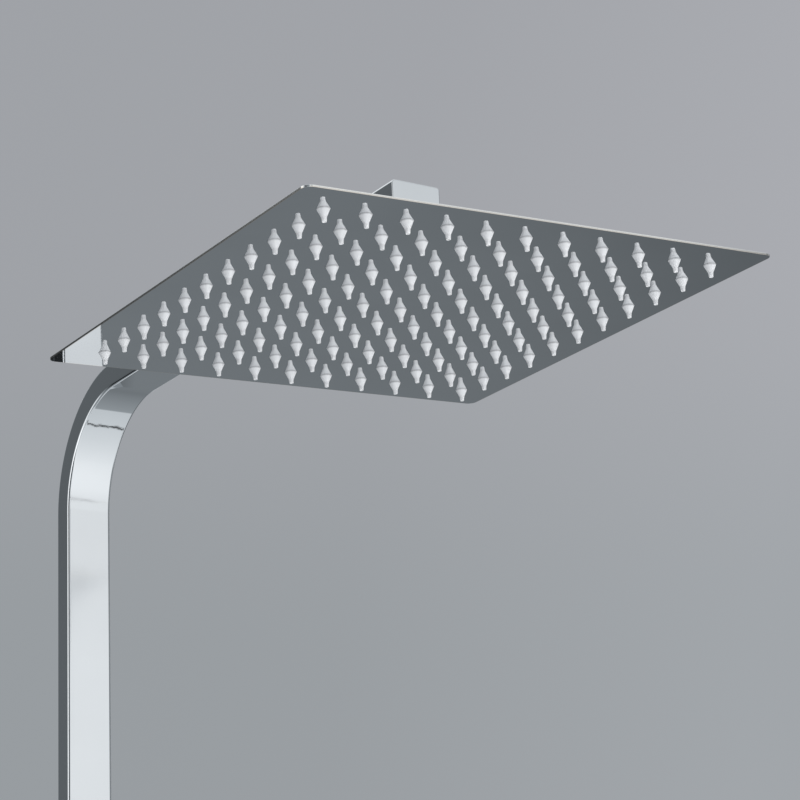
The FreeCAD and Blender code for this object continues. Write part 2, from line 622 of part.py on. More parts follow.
def make_top_shell():
    """Pressed upper sheet: a flat border, a sloped step and a raised field with the inlet hole."""
    body = new_head_body("top_shell", "(sheet - ball_rise)")
    border = draw_rounded(new_sketch(body, "border_outline"), "head_side", "head_side", "head_corner")
    pad(body, "border", border, "sheet")
    # The slope keeps the sheet's thickness when the inside follows the outside one sheet further in
    for kind, name, inset, base, top in (
        ("AdditiveLoft", "field", "0", "sheet", "(sheet + chamber)"),
        ("SubtractiveLoft", "hollow", "sheet", "0", "chamber"),
    ):
        low, low_side = new_sketch(body, f"{name}_low", lift=base), f"({FIELD_SIDE} - 2 * {inset})"
        draw_rounded(low, low_side, low_side, "(field_corner + rim_slope)")
        high, high_side = new_sketch(body, f"{name}_high", lift=top), f"({FIELD_TOP_SIDE} - 2 * {inset})"
        draw_rounded(high, high_side, high_side, "field_corner")
        loft = add(body, kind, name, low)
        loft.Sections = [high]
        loft.Ruled = True
    hole = new_sketch(body, "inlet_outline", lift="(sheet + chamber)")
    pocket(body, "inlet", draw_circle(hole, "(collar_pilot + 2 * solder_gap)"), "(sheet + overrun)")
    return body


def make_face_plate():
    """Flat lower sheet with one hole for each nozzle."""
    body = new_head_body("face_plate", "-ball_rise")
    plate = draw_rounded(new_sketch(body, "outline"), "head_side", "head_side", "head_corner")
    pad(body, "plate", plate, "sheet")
    hole = new_sketch(body, "hole_outline")
    draw_circle(hole, "(nozzle_base + 2 * solder_gap)", f"-{NOZZLE_CORNER}", f"-{NOZZLE_CORNER}")
    drilled = pocket(body, "hole", hole, "(sheet + overrun)", upward=True)
    grid(body, "holes", drilled, "nozzle_count", NOZZLE_PITCH)
    return body


def make_nozzles():
    """Silicone nozzles with a tapered waterway, each held by its flange behind the face plate."""
    body = new_head_body("nozzles", "-ball_rise", NOZZLE_CORNER)
    flange, base, top = "nozzle_flange / 2", "nozzle_base / 2", "(sheet + nozzle_flange_thickness)"
    corners = [
        ("nozzle_jet / 2", "-nozzle_length"), ("nozzle_tip / 2", "-nozzle_length"),
        ("nozzle_shoulder / 2", "-nozzle_cone"), (base, "0"), (base, "sheet"),
        (flange, "sheet"), (flange, top), ("nozzle_mouth / 2", top),
    ]
    nozzle = revolve(body, "nozzle", corners)
    grid(body, "rows", nozzle, "nozzle_count", NOZZLE_PITCH)
    return body


def make_spacer_studs():
    """Studs that hold the two sheets apart, between the nozzle rows."""
    body = new_head_body("spacer_studs", "(sheet - ball_rise)", STUD_CORNER)
    stud = pad(body, "stud", draw_circle(new_sketch(body, "stud_outline"), "stud_diameter"), "chamber")
    grid(body, "rows", stud, "stud_count", STUD_PITCH)
    return body


def make_parts():
    """Every sub-part of the shower."""
    union_washer = new_body("union_washer", up=TAIL_END)
    spigot_washer = new_body("spigot_washer", "reach", f"({ARM_UNDERSIDE} - {SPIGOT_END})")
    shank_seal = new_body("shank_seal", "reach", f"({ARM_UNDERSIDE} - {COUPLING_FLOOR} - coupling_web)")
    nut_gasket = new_head_body("nut_gasket", BALL_NUT_SEAT)
    return [
        make_riser_pipe(),
        make_arm_end_cap(),
        make_foot_adapter(),
        make_nut_retaining_ring(),
        ring(union_washer, "(union_bore - 2 * seal_play)", "union_seal_bore", "union_seal"),
        make_union_nut(),
        make_outlet_spigot(),
        ring(spigot_washer, "(spigot_thread - 2 * seal_play)", "spigot_bore", "spigot_seal"),
        make_filter_screen(),
        make_flow_restrictor(),
        make_swivel_coupling(),
        ring(shank_seal, "(shank_diameter - 2 * seal_play)", "coupling_throat", "shank_seal"),
        make_swivel_ball(),
        make_liner("upper_liner", "upper_liner_start", "upper_liner_end"),
        make_liner("lower_liner", "-lower_liner_start", "-lower_liner_end"),
        make_inlet_collar(),
        ring(nut_gasket, "(collar_thread - 2 * seal_play)", "gasket_bore", "gasket_thickness"),
        make_ball_nut(),
        make_top_shell(),
        make_face_plate(),
        make_nozzles(),
        make_spacer_studs(),
    ]


def check_and_write(parts):
    """Stop on any failed object, then write each sub-part's solids to its own file."""
    document.recompute()
    failed = [item.Name for item in document.Objects if {"Invalid", "Error"} & set(item.State)]
    failed += [part.Label for part in parts if part.Shape.isNull() or not part.Shape.isValid()]
    if failed:
        raise RuntimeError(f"not built: {failed}")
    os.makedirs("parts", exist_ok=True)
    for part in parts:
        part.Shape.exportStep(f"parts/{part.Label}.step")
        print(part.Label, len(part.Shape.Solids), "solids", round(part.Shape.Volume, 1), "mm3")


fill_sheet()
check_and_write(make_parts())
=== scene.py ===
"""Looks of the square overhead rain shower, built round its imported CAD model.

Lengths are metres in the model's own frame: the origin is the union's mouth, +Z is up and the arm points
to -Y. Pieces of the head are drawn from the ball's centre and then lean with the head.
"""
import json
import math
import bmesh
import bpy
from mathutils import Matrix, Vector

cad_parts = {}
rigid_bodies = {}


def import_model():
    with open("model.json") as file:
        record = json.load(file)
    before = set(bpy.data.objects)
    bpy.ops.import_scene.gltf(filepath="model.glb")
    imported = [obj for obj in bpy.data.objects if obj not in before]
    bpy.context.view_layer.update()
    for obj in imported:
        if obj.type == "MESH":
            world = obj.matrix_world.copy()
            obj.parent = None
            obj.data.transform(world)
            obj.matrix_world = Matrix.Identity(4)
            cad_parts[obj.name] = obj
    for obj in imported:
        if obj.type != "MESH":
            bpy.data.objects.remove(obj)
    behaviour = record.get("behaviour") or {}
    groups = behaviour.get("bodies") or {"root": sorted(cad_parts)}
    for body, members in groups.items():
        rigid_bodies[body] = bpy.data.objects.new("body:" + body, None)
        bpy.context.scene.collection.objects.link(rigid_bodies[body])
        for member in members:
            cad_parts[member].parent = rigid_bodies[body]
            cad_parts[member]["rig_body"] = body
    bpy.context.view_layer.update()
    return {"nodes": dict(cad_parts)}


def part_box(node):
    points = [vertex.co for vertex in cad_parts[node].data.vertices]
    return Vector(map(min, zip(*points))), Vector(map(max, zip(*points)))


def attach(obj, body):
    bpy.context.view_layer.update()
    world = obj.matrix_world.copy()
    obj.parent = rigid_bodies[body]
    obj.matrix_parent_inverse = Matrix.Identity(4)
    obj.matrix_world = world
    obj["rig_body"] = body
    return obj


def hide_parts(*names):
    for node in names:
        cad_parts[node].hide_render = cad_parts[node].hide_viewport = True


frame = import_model()
nodes = frame["nodes"]
MM = 0.001

# Riser and arm
tube_low, tube_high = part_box("riser_pipe")
cap_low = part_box("arm_end_cap")[0]
TUBE_WIDTH = tube_high.x - tube_low.x
TUBE_DEPTH = 2 * tube_high.y
TUBE_CORNER = 2 * MM
TUBE_WALL = 1.5 * MM
BEND_RADIUS = 79 * MM
ARM_AXIS = tube_high.z - TUBE_DEPTH / 2
ARM_UNDERSIDE = tube_high.z - TUBE_DEPTH
BEND_START = ARM_AXIS - BEND_RADIUS
BEND_POLISH = 0.22
POLISH_START = BEND_START + BEND_RADIUS * 0.2
POLISH_END = BEND_START + BEND_RADIUS * 0.45
CAP_EDGE = 0.6 * MM

# Foot and union nut
foot_low, foot_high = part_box("foot_adapter")
nut_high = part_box("union_nut")[1]
FLANGE_WIDTH = 36 * MM
FLANGE_DEPTH = 26 * MM
FLANGE_CORNER = 9 * MM
FLANGE_BASE = 20 * MM
FLANGE_EDGE = 1.2 * MM
FLANGE_LAND = 3 * MM
SOLDER_FILLET = 0.7 * MM
TAIL_RADIUS = 10 * MM
TAIL_EDGE = 0.5 * MM
FOOT_BORE = 4 * MM
NUT_FLAT = 15 * MM
NUT_CORNER = 0.7 * MM
NUT_CHAMFER = 1.6 * MM
NUT_EDGE = 0.25 * MM
NUT_HOLE = 10.3 * MM
NUT_SHOULDER = 3.5 * MM
UNION_BORE = 12.06 * MM
THREAD_DEPTH = 1.1 * MM
THREAD_PITCH = 1.814 * MM
THREAD_END = 9.4 * MM
THREAD_RELIEF = 0.8 * MM

# Outlet, coupling and ball
coupling_low, coupling_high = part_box("swivel_coupling")
ball_low, ball_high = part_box("swivel_ball")
spigot_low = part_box("outlet_spigot")[0]
OUTLET = Vector((0, (coupling_low.y + coupling_high.y) / 2, 0))
SHOULDER_RADIUS = 12.5 * MM
SHOULDER_THICKNESS = 2.5 * MM
SPIGOT_THREAD = 10.4 * MM
SPIGOT_BORE = 5.5 * MM
COUPLING_RADIUS = 13.5 * MM
COUPLING_FLAT = 12.5 * MM
COUPLING_CHAMFER = 1 * MM
FLATS_HEIGHT = 9 * MM
FLATS_STEP = 0.4 * MM
UPPER_SOCKET = 10.53 * MM
LOWER_SOCKET = 8.05 * MM
COUPLING_WEB = 15.6 * MM
COUPLING_FLOOR = 14 * MM
COUPLING_THROAT = 5 * MM
FITTING_EDGE = 0.35 * MM
BALL_RADIUS = 10.5 * MM
BALL_BORE = 4.5 * MM
NECK_RADIUS = 6 * MM
SHANK_RADIUS = 8 * MM
BALL = Vector((OUTLET.x, OUTLET.y, ball_low.z + math.sqrt(BALL_RADIUS ** 2 - BALL_BORE ** 2)))
SHANK_BASE = coupling_low.z - BALL.z
SHANK_TOP = ball_high.z - BALL.z

# Head, measured from the ball's centre
HEAD_LEAN = math.radians(-2.5)
HEAD = Matrix.Translation(BALL) @ Matrix.Rotation(HEAD_LEAN, 4, "Y")
HEAD_SIDE = 300 * MM
HEAD_CORNER = 5 * MM
FACE = -16.5 * MM
SHEET = 0.6 * MM
CHAMBER = 3 * MM
RIM_EDGE = 0.2 * MM
RIM_FLAT = 11 * MM
RIM_SLOPE = 4 * MM
RIM_BAND = 0.7 * MM
CORNER_REACH = 100 * MM
CORNER_BEND = 0.051
CORNER_POWER = 1.5
PRESS_RADIUS = 1.2 * MM
HOLE_EDGE = 0.12 * MM
HOLE_GAP = 0.05 * MM
SHELL_TOP = FACE + 2 * SHEET + CHAMBER
NOZZLE_COUNT = 11
NOZZLE_PITCH = 25 * MM
NOZZLE_BASE = 3.6 * MM
NOZZLE_CONE = 4.4 * MM
NOZZLE_SHOULDER = 1.5 * MM
NOZZLE_TIP = 1.2 * MM
NOZZLE_LENGTH = 7.1 * MM
NOZZLE_JET = 0.6 * MM
NOZZLE_MOUTH = 2.1 * MM
NOZZLE_FLANGE = 4.6 * MM
NOZZLE_FLANGE_THICKNESS = 1 * MM
NOZZLE_EDGE = 0.2 * MM
SEAT_RADIUS = 12.65 * MM
COLLAR_FOOT = 21 * MM
COLLAR_FOOT_HEIGHT = 2 * MM
COLLAR_THREAD = 16.625 * MM
COLLAR_RIM = -1.5 * MM
COLLAR_THROAT = 8.2 * MM
WELD_BEAD = 0.9 * MM
BALL_NUT_RADIUS = 20.5 * MM
BALL_NUT_BASE = SHELL_TOP + 3 * MM
BALL_NUT_SIDE = 12 * MM
BALL_NUT_CROWN = 13 * MM
BALL_NUT_MOUTH = 9.4 * MM
BALL_NUT_SEAT = -0.5 * MM
BALL_NUT_THREAD = 16.68 * MM
BALL_NUT_EDGE = 0.5 * MM
FLUTES = 12
FLUTE_RADIUS = 2.5 * MM
FLUTE_DEPTH = 0.9 * MM
FLUTE_EDGE = 0.25 * MM

# Finish of the meshes
CORNER_STEPS = 8
EDGE_STEPS = 4
BEND_STEPS = 90
TURN_STEPS = 96
NOZZLE_STEPS = 28
HOLE_STEPS = 32
FLUTE_STEPS = 10
SEAT_STEPS = 8
THREAD_STEPS = 12
LONGEST_SIDE = 1.5 * MM
SHARP_ANGLE = math.radians(40)
BEVEL_ANGLE = math.radians(60)
BEVEL_STEPS = 3

# Camera and floor
CAMERA_PLACE = Vector((-0.7453, -1.5602, -0.1632))
CAMERA_HEADING = -32.960
CAMERA_PITCH = 17.438
CAMERA_ROLL = -2.450
CAMERA_LENS = 114.69
CAMERA_SENSOR = 36.0
FLOOR_HEIGHT = -1.78
FLOOR_HALF = 60.0
FLOOR_SCALE = 0.8
FLOOR_DETAIL = 4.0
FLOOR_TONES = [(0.3, (0.60, 0.61, 0.63)), (0.7, (0.64, 0.65, 0.67))]
FLOOR_ROUGHNESS = 0.8

# Patterns and tints of the materials, and the painted shade on the head's left edge and at the nozzles'
# base; noise scales are per metre
NOISE_LOW = 0.3
NOISE_HIGH = 0.7
CLOUD_SCALE = 18.0
CLOUD_DETAIL = 4.0
WIPE_SCALE = 55.0
WIPE_DETAIL = 5.0
WIPE_LOW = 0.35
WIPE_HIGH = 0.75
HAIRLINE_SCALE = 900.0
HAIRLINE_DETAIL = 2.0
HAIRLINE_STRENGTH = 0.03
HAIRLINE_HEIGHT = 0.02 * MM
TUBE_WIPE = (1, 1, 0.15)
SHEET_WIPE = (1, 0.15, 1)
STRAW_LOW = (0.84, 0.77, 0.70, 1.0)
STRAW_HIGH = (0.98, 0.95, 0.91, 1.0)
# Painted shade along the head's left edge: light at the front, dark at the back.
LEFT_EDGE_SHADE_STOPS = [(0.1, 0.95), (0.9, 0.42)]
MOULD_SCALE = 160.0
MOULD_DETAIL = 4.0
GRAIN_DETAIL = 5.0
GRAIN_STRENGTH = 0.15
GRAIN_HEIGHT = 0.06 * MM
MOULD_LIGHT_DEPTH = 2.5 * MM
# Tones from tip to plate; the last stop is painted shade where the nozzles meet the face plate.
NOZZLE_TONES_AND_BASE_SHADE = [
    (0.0, (0.80, 0.81, 0.82)), (0.4, (0.86, 0.87, 0.88)), (0.9, (0.80, 0.81, 0.82)),
    (1.0, (0.45, 0.46, 0.47)),
]
BATCH_SCALE = 45.0
BATCH_STOPS = [(0.3, 0.93), (0.7, 1.0)]
SILICONE_SCALE = 1500.0
SILICONE_DETAIL = 4.0
SILICONE_STRENGTH = 0.12
SILICONE_HEIGHT = 0.05 * MM
SILICONE_ROUGHNESS = (0.28, 0.42)
SILICONE_SOFTNESS = 0.35
SILICONE_LIGHT_DEPTH = 2 * MM

# Backdrop that the camera sees, by the direction across and the direction up
BACKDROP_ACROSS = (0.38, 0.64)
BACKDROP_TONES = [(0.0, (0.350, 0.363, 0.388)), (0.5, (0.362, 0.373, 0.399)), (1.0, (0.403, 0.413, 0.442))]
BACKDROP_UP = (0.20, 0.36)
BACKDROP_FALL = [(0.0, (0.89, 0.92, 0.91)), (1.0, (1.0, 1.0, 1.0))]
EVEN_LIGHT = (0.66, 0.67, 0.69, 1.0)
COOL_RED = 0.885
COOL_RED_GAIN = 0.077
COOL_BLUE = 1.085
COOL_BLUE_LOSS = 0.058

# Room that the mirrors see. Walls are pairs of compass direction and brightness: 0 and 1 are the front,
# 0.25 is the left, 0.5 the back and 0.75 the right. Heights are the upward part of a direction.
WALLS = [
    (0.0, 1.0), (0.045, 1.0), (0.06, 0.9), (0.095, 0.32), (0.140, 0.22), (0.147, 0.06), (0.228, 0.06),
    (0.238, 0.96), (0.345, 0.96), (0.37, 0.90), (0.388, 0.30), (0.405, 0.117), (0.422, 0.133),
    (0.444, 0.159), (0.50, 0.25), (0.572, 0.22), (0.60, 0.195), (0.622, 0.14), (0.667, 0.10),
    (0.725, 0.10), (0.74, 0.85), (0.755, 0.85), (0.77, 0.22), (0.83, 0.22), (0.87, 0.15),
    (0.885, 0.82), (0.906, 0.82), (0.926, 1.0),
]
WALL_UP = (-0.15, 0.35)
WALL_HEIGHTS = [(0.0, 1.0), (0.5, 0.905), (0.74, 0.905), (0.79, 0.84), (0.82, 0.84), (0.86, 0.905)]
FRONT_WALL = [(0.02, 1.0), (0.045, 0.0), (0.955, 0.0), (0.985, 1.0)]
LEFT_GAP = [(0.140, 0.0), (0.147, 1.0), (0.238, 1.0), (0.25, 0.0)]
DOORS = [
    (0.410, 0.0), (0.415, 1.0), (0.445, 1.0), (0.450, 0.0),
    (0.558, 0.0), (0.561, 1.0), (0.5722, 1.0), (0.5729, 0.0),
]
LIT_STRIP = [(0.553, 0.0), (0.562, 1.0), (0.583, 1.0), (0.592, 0.0)]
# Parts of the walls with another brightness: where, the heights between which it comes in, how bright
WALL_PARTS = [
    (FRONT_WALL, (0.18, 0.36), 0.5),
    (LEFT_GAP, (0.39, 0.45), 0.30),
    (DOORS, (-0.06, -0.12), 0.02),
    (LIT_STRIP, (-0.12, -0.04), 1.0),
]
GROUND = [
    (0.0, 1.0), (0.108, 1.0), (0.163, 0.91), (0.232, 0.84), (0.312, 0.78), (0.401, 0.74), (0.494, 0.68),
    (0.632, 0.635), (0.642, 0.35), (0.661, 0.33), (0.757, 0.28), (0.828, 0.24), (0.884, 0.20), (1.0, 0.18),
]
GROUND_BLEND = (-0.40, -0.58)
STREAK_NOISES = [(420.0, 0.0), (260.0, 5.0)]
STREAK_DETAIL = 3.0
STREAK_PLACE = 0.085
STREAK_SWAY = 0.03
SWAY_NOISE = (0.3, 0.7)
STREAK_THICKNESS = (0.012, 0.05)
THICKNESS_NOISE = (0.35, 0.65)
STREAK_CORE = 0.006
STREAK_SHARE = 0.97
STREAK_LEVEL = 0.02
CEILING_DEEP = (-0.5, 0.5)
CEILING = [(0.0, 0.55), (1.0, 0.95)]
CEILING_EDGE = 0.33
CEILING_UP = (0.45, 0.60)
CEILING_BLEND = (0.33, 0.60)
LAMPS = [
    {"name": "front_softbox", "place": (-1.0, -2.2, 1.3), "aim": BALL, "size": (1.6, 1.6), "power": 45.0},
    {"name": "low_softbox", "place": (0.4, -1.8, -0.9), "aim": BALL, "size": (1.2, 1.2), "power": 22.0},
    {"name": "back_softbox", "place": (0.6, 1.4, -0.9), "aim": BALL, "size": (1.2, 1.2), "power": 14.0},
    {"name": "edge_strip", "place": (-2.0, 0.3, 0.3), "aim": (0, 0, 0.3), "size": (1.0, 2.0), "power": 2.8,
     "mirrored": True},
]


def soften(corners, radii, steps=CORNER_STEPS, closed=True):
    """Outline through the corners, each rounded by its radius; one radius may serve all of them."""
    points = [Vector(corner) for corner in corners]
    radii = radii if isinstance(radii, (list, tuple)) else [radii] * len(points)
    outline = []
    for index, (point, radius) in enumerate(zip(points, radii)):
        at_end = index in (0, len(points) - 1)
        if radius == 0 or (at_end and not closed):
            outline.append(point)
            continue
        before = (points[index - 1] - point).normalized()
        after = (points[(index + 1) % len(points)] - point).normalized()
        half = before.angle(after) / 2
        centre = point + (before + after).normalized() * (radius / math.sin(half))
        start = point + before * (radius / math.tan(half)) - centre
        finish = point + after * (radius / math.tan(half)) - centre
        turn = start.angle_signed(finish)
        for step in range(steps + 1):
            outline.append(centre + Matrix.Rotation(-turn * step / steps, 2) @ start)
    return outline


def divide(outline, longest):
    """Closed outline with points added on the sides that are longer than longest."""
    points = []
    for index, start in enumerate(outline):
        side = outline[(index + 1) % len(outline)] - start
        count = max(1, math.ceil(side.length / longest))
        points += [start + side * (step / count) for step in range(count)]
    return points


def skin(bm, rings, loop=False, caps=(False, False)):
    """Faces between neighbouring rings of equally many points; loop joins the last ring to the first."""
    made = [[bm.verts.new(point) for point in ring] for ring in rings]
    pairs = list(zip(made, made[1:]))
    if loop:
        pairs.append((made[-1], made[0]))
    for low, high in pairs:
        for index in range(len(low)):
            after = (index + 1) % len(low)
            bm.faces.new((low[index], low[after], high[after], high[index]))
    if caps[0]:
        bm.faces.new(reversed(made[0]))
    if caps[1]:
        bm.faces.new(made[-1])


def even_turns(radius, steps=TURN_STEPS):
    """Plan of a round piece: one (angle, radius) for each column of its mesh."""
    return [(2 * math.pi * step / steps, radius) for step in range(steps)]


def turns_of(outline):
    """Plan of any other piece, from the points of its outline."""
    return [(math.atan2(point.y, point.x), point.length) for point in outline]


def spin(bm, plan, section, centre=Vector()):
    """Closed section swept round an upright axis; section gives a plan column's (radius, height) pairs."""
    rings = []
    for turn, reach in plan:
        aim = Vector((math.cos(turn), math.sin(turn), 0))
        outline = section(turn, reach)
        rings.append([centre + aim * radius + Vector((0, 0, height)) for radius, height in outline])
    skin(bm, rings, loop=True)


def new_piece(name, bm, slot, node, place=Matrix()):
    """Object from bm, set in its place, that stands for a CAD node and rides on the node's body."""
    bm.transform(place)
    bmesh.ops.recalc_face_normals(bm, faces=bm.faces)
    mesh = bpy.data.meshes.new(name)
    bm.to_mesh(mesh)
    bm.free()
    mesh.shade_smooth()
    mesh.set_sharp_from_angle(angle=SHARP_ANGLE)
    mesh.materials.append(LOOKS[slot])
    piece = bpy.data.objects.new(name, mesh)
    bpy.context.scene.collection.objects.link(piece)
    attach(piece, nodes[node]["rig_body"])
    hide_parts(node)
    return piece


def even_shading(piece):
    """Large faces keep their own direction where they meet small rounded edges."""
    weighted = piece.modifiers.new("even_shading", "WEIGHTED_NORMAL")
    weighted.keep_sharp = True


class Nodes:
    """Short calls for building one node tree."""

    def __init__(self, tree):
        self.tree = tree

    def add(self, kind, **settings):
        """A new node with its settings."""
        node = self.tree.nodes.new(kind)
        for name, value in settings.items():
            setattr(node, name, value)
        return node

    def link(self, source, target):
        """Feed an input from another node's output, or set it to a plain value."""
        if isinstance(source, bpy.types.NodeSocket):
            self.tree.links.new(source, target)
        else:
            target.default_value = source

    def math(self, operation, first, second=0.0):
        """One step of arithmetic on one or two values."""
        node = self.add("ShaderNodeMath", operation=operation)
        self.link(first, node.inputs[0])
        self.link(second, node.inputs[1])
        return node.outputs[0]

    def spread(self, value, low, high, to_low=0.0, to_high=1.0, smooth=True):
        """A value moved from one range to another, and kept inside it."""
        kind = "SMOOTHSTEP" if smooth else "LINEAR"
        node = self.add("ShaderNodeMapRange", interpolation_type=kind)
        for source, target in zip((value, low, high, to_low, to_high), node.inputs):
            self.link(source, target)
        return node.outputs[0]

    def mix(self, share, first, second, way="MIX"):
        """Two colours blended."""
        node = self.add("ShaderNodeMix", data_type="RGBA", blend_type=way)
        factor, one, other = [socket for socket in node.inputs if socket.enabled]
        for source, target in ((share, factor), (first, one), (second, other)):
            self.link(source, target)
        return next(socket for socket in node.outputs if socket.enabled)

    def ramp(self, value, stops):
        """Colours spread along a value from 0 to 1."""
        node = self.add("ShaderNodeValToRGB")
        elements = node.color_ramp.elements
        while len(elements) < len(stops):
            elements.new(1.0)
        for element, (place, colour) in zip(elements, stops):
            element.position = place
            element.color = (*colour, 1.0) if isinstance(colour, tuple) else (colour, colour, colour, 1.0)
        self.link(value, node.inputs[0])
        return node.outputs[0]

    def place(self, stretch=(1, 1, 1), seen_from=Matrix()):
        """Where a point of the surface lies, in another frame or stretched along the axes."""
        mapping = self.add("ShaderNodeMapping")
        mapping.inputs["Location"].default_value = seen_from.to_translation()
        mapping.inputs["Rotation"].default_value = seen_from.to_euler()
        mapping.inputs["Scale"].default_value = stretch
        self.link(self.add("ShaderNodeTexCoord").outputs["Object"], mapping.inputs["Vector"])
        return mapping.outputs["Vector"]

    def noise(self, scale, detail=3.0, stretch=(1, 1, 1)):
        """Cloudy values over the surface."""
        node = self.add("ShaderNodeTexNoise")
        node.inputs["Scale"].default_value = scale
        node.inputs["Detail"].default_value = detail
        self.link(self.place(stretch), node.inputs["Vector"])
        return node.outputs["Fac"]

    def bump(self, height, strength, distance):
        """Surface direction from a height."""
        node = self.add("ShaderNodeBump")
        node.inputs["Strength"].default_value = strength
        node.inputs["Distance"].default_value = distance
        self.link(height, node.inputs["Height"])
        return node.outputs["Normal"]

    def axes(self, vector):
        """The three parts of a vector."""
        node = self.add("ShaderNodeSeparateXYZ")
        self.link(vector, node.inputs[0])
        return node.outputs


def new_material(name):
    """Empty material with its node helper and its main shader."""
    material = bpy.data.materials.new(name)
    material.use_nodes = True
    return material, Nodes(material.node_tree), material.node_tree.nodes["Principled BSDF"]


def polished_metal(name, dark, light, roughness, wipe_stretch):
    """Mirror plating with wipe marks in its gloss and the wheel's hairlines in its surface."""
    material, tree, shader = new_material(name)
    cloud = tree.noise(CLOUD_SCALE, CLOUD_DETAIL)
    tree.link(tree.ramp(cloud, [(NOISE_LOW, dark), (NOISE_HIGH, light)]), shader.inputs["Base Color"])
    wipe = tree.noise(WIPE_SCALE, WIPE_DETAIL, wipe_stretch)
    tree.link(tree.spread(wipe, WIPE_LOW, WIPE_HIGH, *roughness), shader.inputs["Roughness"])
    lines = tree.noise(HAIRLINE_SCALE, HAIRLINE_DETAIL, wipe_stretch)
    tree.link(tree.bump(lines, HAIRLINE_STRENGTH, HAIRLINE_HEIGHT), shader.inputs["Normal"])
    shader.inputs["Metallic"].default_value = 1.0
    return material


def tube_metal(name, dark, light, roughness):
    """Plated tube like polished metal; its bend and arm are a clearer mirror than the straight riser."""
    material = polished_metal(name, dark, light, roughness, TUBE_WIPE)
    tree = Nodes(material.node_tree)
    target = material.node_tree.nodes["Principled BSDF"].inputs["Roughness"]
    wiped = target.links[0].from_socket
    height = tree.axes(tree.place())[2]
    clearer = tree.spread(height, POLISH_START, POLISH_END, 1.0, BEND_POLISH)
    tree.link(tree.math("MULTIPLY", wiped, clearer), target)
    return material


def rim_tint_and_shade(tree, plain, across, deep, up):
    """Sheet colour with straw along the welded rim, and painted shade on the left edge that is strongest at
    its back.
    """
    edge = HEAD_SIDE / 2
    outward = tree.math("MAXIMUM", tree.math("ABSOLUTE", across), tree.math("ABSOLUTE", deep))
    at_rim = tree.spread(outward, edge - RIM_BAND, edge - RIM_BAND / 2)
    seam = tree.spread(up, FACE + SHEET / 2, FACE + SHEET)
    straw = tree.mix(seam, STRAW_LOW, STRAW_HIGH)
    # Painted shade: the sheet's left edge is darkened, least at the front and most at the back.
    left = tree.spread(across, RIM_BAND - edge, RIM_BAND / 2 - edge)
    left_edge_shade = tree.ramp(tree.spread(deep, -edge, edge, smooth=False), LEFT_EDGE_SHADE_STOPS)
    straw = tree.mix(left, straw, tree.mix(1.0, straw, left_edge_shade, "MULTIPLY"))
    return tree.mix(at_rim, plain, straw)


def sheet_metal(name, dark, light, roughness):
    """Mirror sheet like polished metal, with a tinted rim that carries painted shade on its left edge, and
    a slight bend up towards the four corners.
    """
    material = polished_metal(name, dark, light, roughness, SHEET_WIPE)
    tree = Nodes(material.node_tree)
    shader = material.node_tree.nodes["Principled BSDF"]
    across, deep, up = tree.axes(tree.place(seen_from=HEAD.inverted()))
    colour = shader.inputs["Base Color"]
    plain = colour.links[0].from_socket
    tree.link(rim_tint_and_shade(tree, plain, across, deep, up), colour)
    squares = tree.math("ADD", tree.math("POWER", across, 2.0), tree.math("POWER", deep, 2.0))
    beyond = tree.math("MAXIMUM", tree.math("SUBTRACT", tree.math("SQRT", squares), CORNER_REACH), 0.0)
    rise = tree.math("MULTIPLY", tree.math("POWER", beyond, CORNER_POWER), -CORNER_BEND)
    lines = shader.inputs["Normal"].links[0].from_node
    tree.link(tree.bump(rise, 1.0, 1.0), lines.inputs["Normal"])
    return material


def let_light_in(shader, share, depth):
    """Light that enters a soft material, to a depth that is the same for all colours."""
    shader.inputs["Subsurface Weight"].default_value = share
    shader.inputs["Subsurface Radius"].default_value = (1.0, 1.0, 1.0)
    shader.inputs["Subsurface Scale"].default_value = depth


def moulded(name, dark, light, roughness, grain, softness=0.0):
    """Moulded rubber or plastic with a fine grain; softness lets light into it."""
    material, tree, shader = new_material(name)
    cloud = tree.noise(MOULD_SCALE, MOULD_DETAIL)
    tree.link(tree.ramp(cloud, [(NOISE_LOW, dark), (NOISE_HIGH, light)]), shader.inputs["Base Color"])
    skin_grain = tree.noise(grain, GRAIN_DETAIL)
    tree.link(tree.spread(skin_grain, NOISE_LOW, NOISE_HIGH, *roughness), shader.inputs["Roughness"])
    tree.link(tree.bump(skin_grain, GRAIN_STRENGTH, GRAIN_HEIGHT), shader.inputs["Normal"])
    let_light_in(shader, softness, MOULD_LIGHT_DEPTH)
    return material


def silicone_rubber(name):
    """Clear-white silicone: painted shade at the plate, milky along the cone and clearer at the tip."""
    material, tree, shader = new_material(name)
    height = tree.axes(tree.place(seen_from=HEAD.inverted()))[2]
    along = tree.spread(height, FACE - NOZZLE_LENGTH, FACE, smooth=False)
    batch = tree.ramp(tree.noise(BATCH_SCALE), BATCH_STOPS)
    # Tone along the nozzle, with painted shade at its base where it meets the plate.
    tone = tree.mix(1.0, tree.ramp(along, NOZZLE_TONES_AND_BASE_SHADE), batch, "MULTIPLY")
    tree.link(tone, shader.inputs["Base Color"])
    skin_grain = tree.noise(SILICONE_SCALE, SILICONE_DETAIL)
    gloss = tree.spread(skin_grain, NOISE_LOW, NOISE_HIGH, *SILICONE_ROUGHNESS)
    tree.link(gloss, shader.inputs["Roughness"])
    tree.link(tree.bump(skin_grain, SILICONE_STRENGTH, SILICONE_HEIGHT), shader.inputs["Normal"])
    let_light_in(shader, SILICONE_SOFTNESS, SILICONE_LIGHT_DEPTH)
    return material


